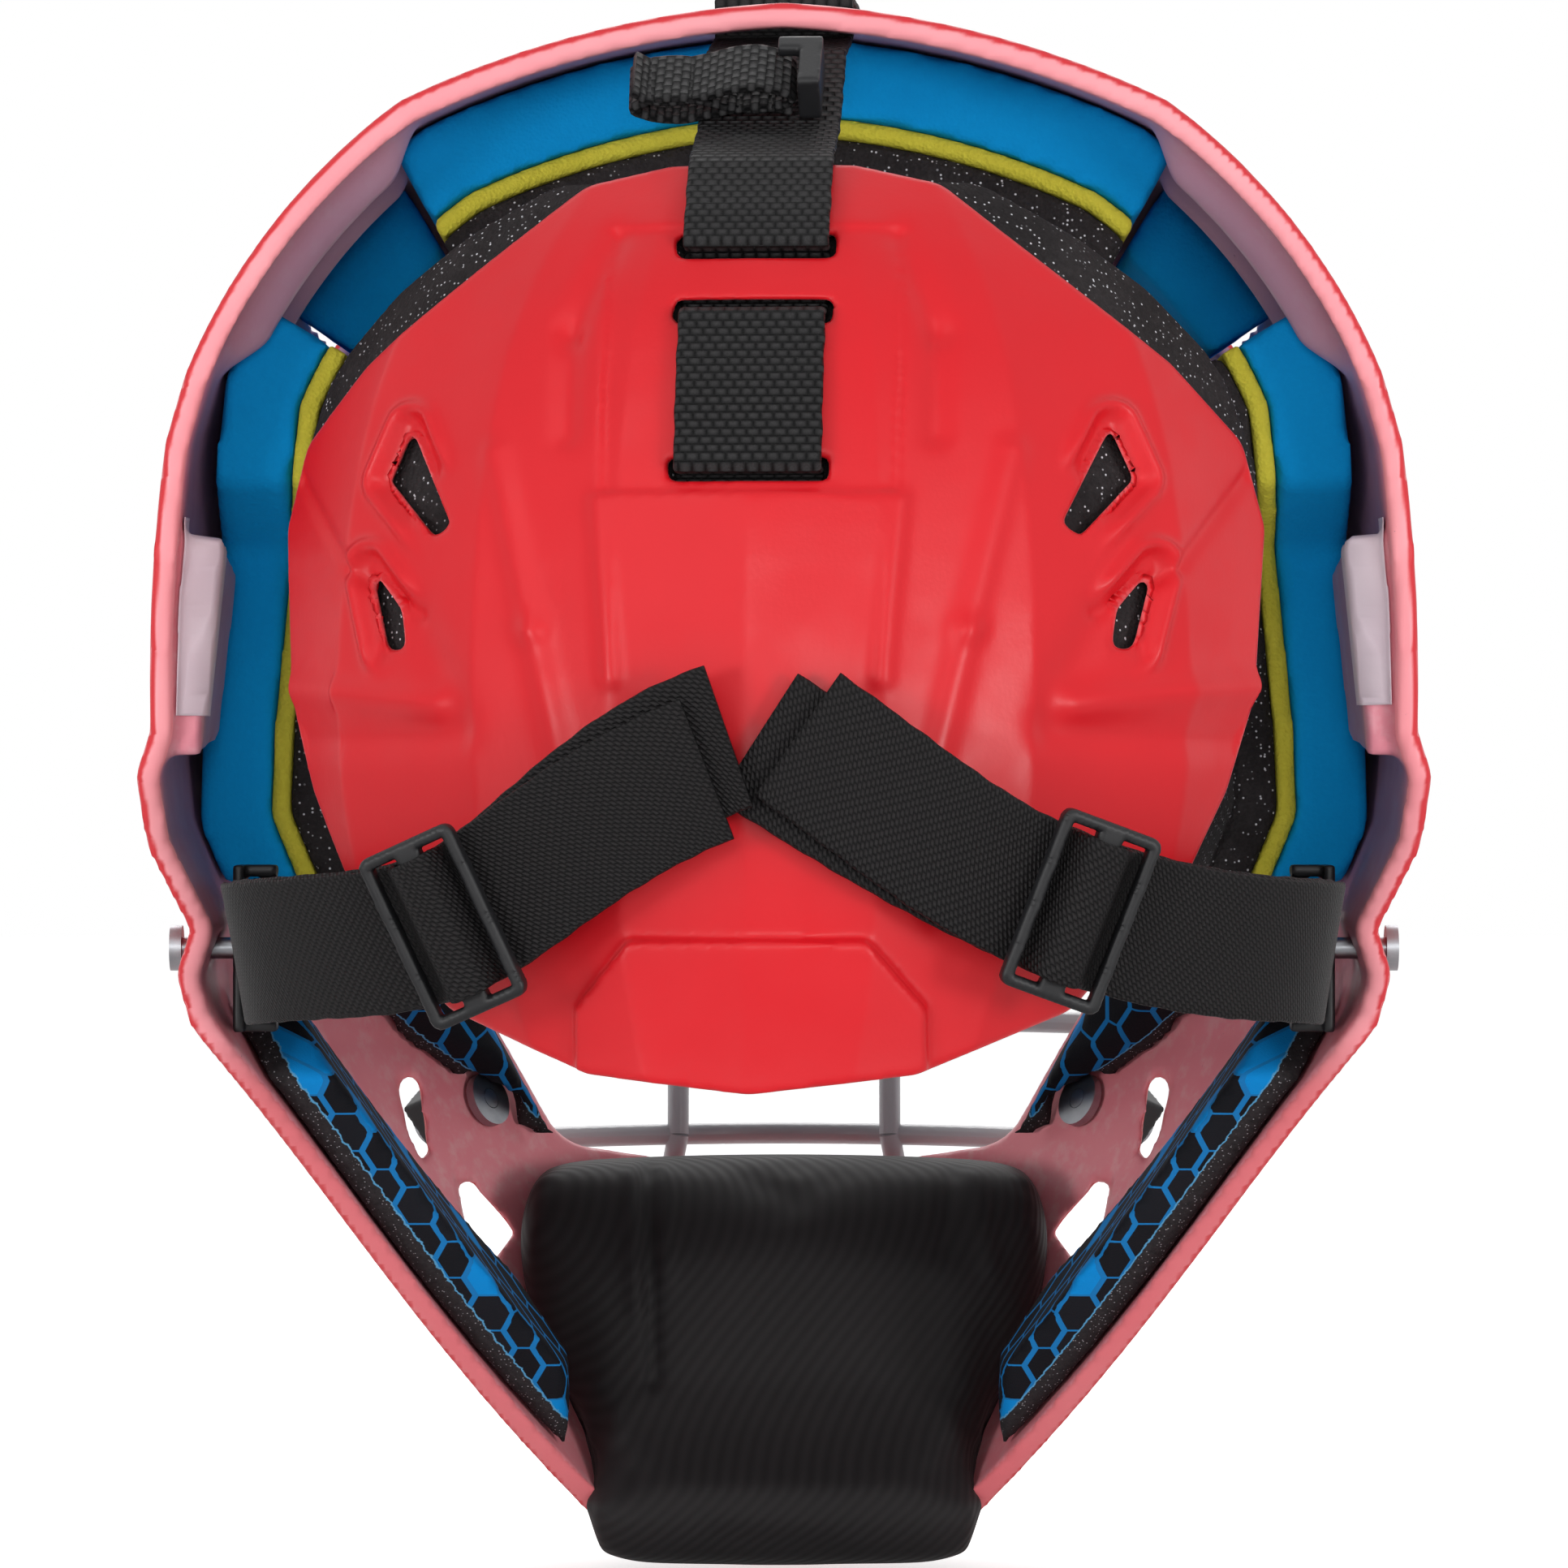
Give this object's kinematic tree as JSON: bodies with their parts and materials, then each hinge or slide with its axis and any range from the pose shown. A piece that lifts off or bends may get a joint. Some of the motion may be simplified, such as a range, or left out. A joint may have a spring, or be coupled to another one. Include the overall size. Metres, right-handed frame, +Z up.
{
  "type": "catcher helmet",
  "caption": "Hockey-style baseball catcher helmet: vented shell with foam pads and a wire face cage, a hinged rear plate on webbing, elastic side straps with slide buckles, and a chin cushion.",
  "frame": {"origin": "middle of the wearer's head", "axes": "+Z up, face toward -Y, wearer's left toward +X"},
  "size_m": [0.2352, 0.2911, 0.299],
  "materials": {
    "shell_plastic": "satin red moulded plastic outside, dusty pink inside",
    "blue_foam": "dull closed-cell foam, dark blue",
    "yellow_foam": "dull closed-cell foam, olive yellow",
    "black_foam": "dull open-cell foam, black, with fine sparkling cells",
    "printed_foam": "printed cloth with hexagon cells on black foam",
    "pad_fabric": "black stretch cloth",
    "elastic_webbing": "black ribbed elastic",
    "nylon_webbing": "black woven nylon",
    "hook_tape": "black hook tape",
    "black_nylon": "black moulded nylon",
    "fixing_steel": "dull zinc-plated steel",
    "cage_wire": "light grey coated steel wire"
  },
  "bodies": {
    "helmet": {"front_shell": "shell_plastic", "crown_pad_blue_foam": "blue_foam", "crown_pad_yellow_foam": "yellow_foam", "crown_pad_black_foam": "black_foam", "left_side_pad_blue_foam": "blue_foam", "left_side_pad_yellow_foam": "yellow_foam", "left_side_pad_black_foam": "black_foam", "left_temple_pad": "blue_foam", "left_jaw_pad": "printed_foam", "left_cheek_pad": "printed_foam", "right_side_pad_blue_foam": "blue_foam", "right_side_pad_yellow_foam": "yellow_foam", "right_side_pad_black_foam": "black_foam", "right_temple_pad": "blue_foam", "right_jaw_pad": "printed_foam", "right_cheek_pad": "printed_foam", "forehead_pad": "black_foam", "chin_pad": "pad_fabric", "left_strap_anchor": "black_nylon", "right_strap_anchor": "black_nylon", "crown_screw": "fixing_steel", "crown_nut": "fixing_steel", "anchor_screws": "fixing_steel", "cage_screws": "fixing_steel", "cage_nuts": "fixing_steel", "cage_clips": "black_nylon", "face_cage": "cage_wire"},
    "rear_plate_body": {"rear_plate": "shell_plastic", "rear_liner": "black_foam", "crown_strap": "nylon_webbing", "strap_keeper": "nylon_webbing", "strap_hook": "black_nylon", "strap_patch": "hook_tape", "left_side_strap": "elastic_webbing", "right_side_strap": "elastic_webbing"},
    "left_glide": {"left_buckle": "black_nylon"},
    "right_glide": {"right_buckle": "black_nylon"}
  },
  "joints": [
    {"name": "rear_plate_swing", "type": "hinge", "parent": "helmet", "child": "rear_plate_body", "pos_m": [0, 0.031, 0.113], "axis": [1, 0, 0], "range_deg": [0, 28], "deforming": ["crown_strap", "left_side_strap", "right_side_strap"]},
    {"name": "left_glide_slide", "type": "slide", "parent": "rear_plate_body", "child": "left_glide", "axis": [0.8519, -0.354, -0.386], "range_m": [-0.008, 0.006], "deforming": ["left_side_strap"]},
    {"name": "right_glide_slide", "type": "slide", "parent": "rear_plate_body", "child": "right_glide", "axis": [-0.8962, -0.2941, -0.3321], "range_m": [-0.008, 0.006], "deforming": ["right_side_strap"]}
  ]
}
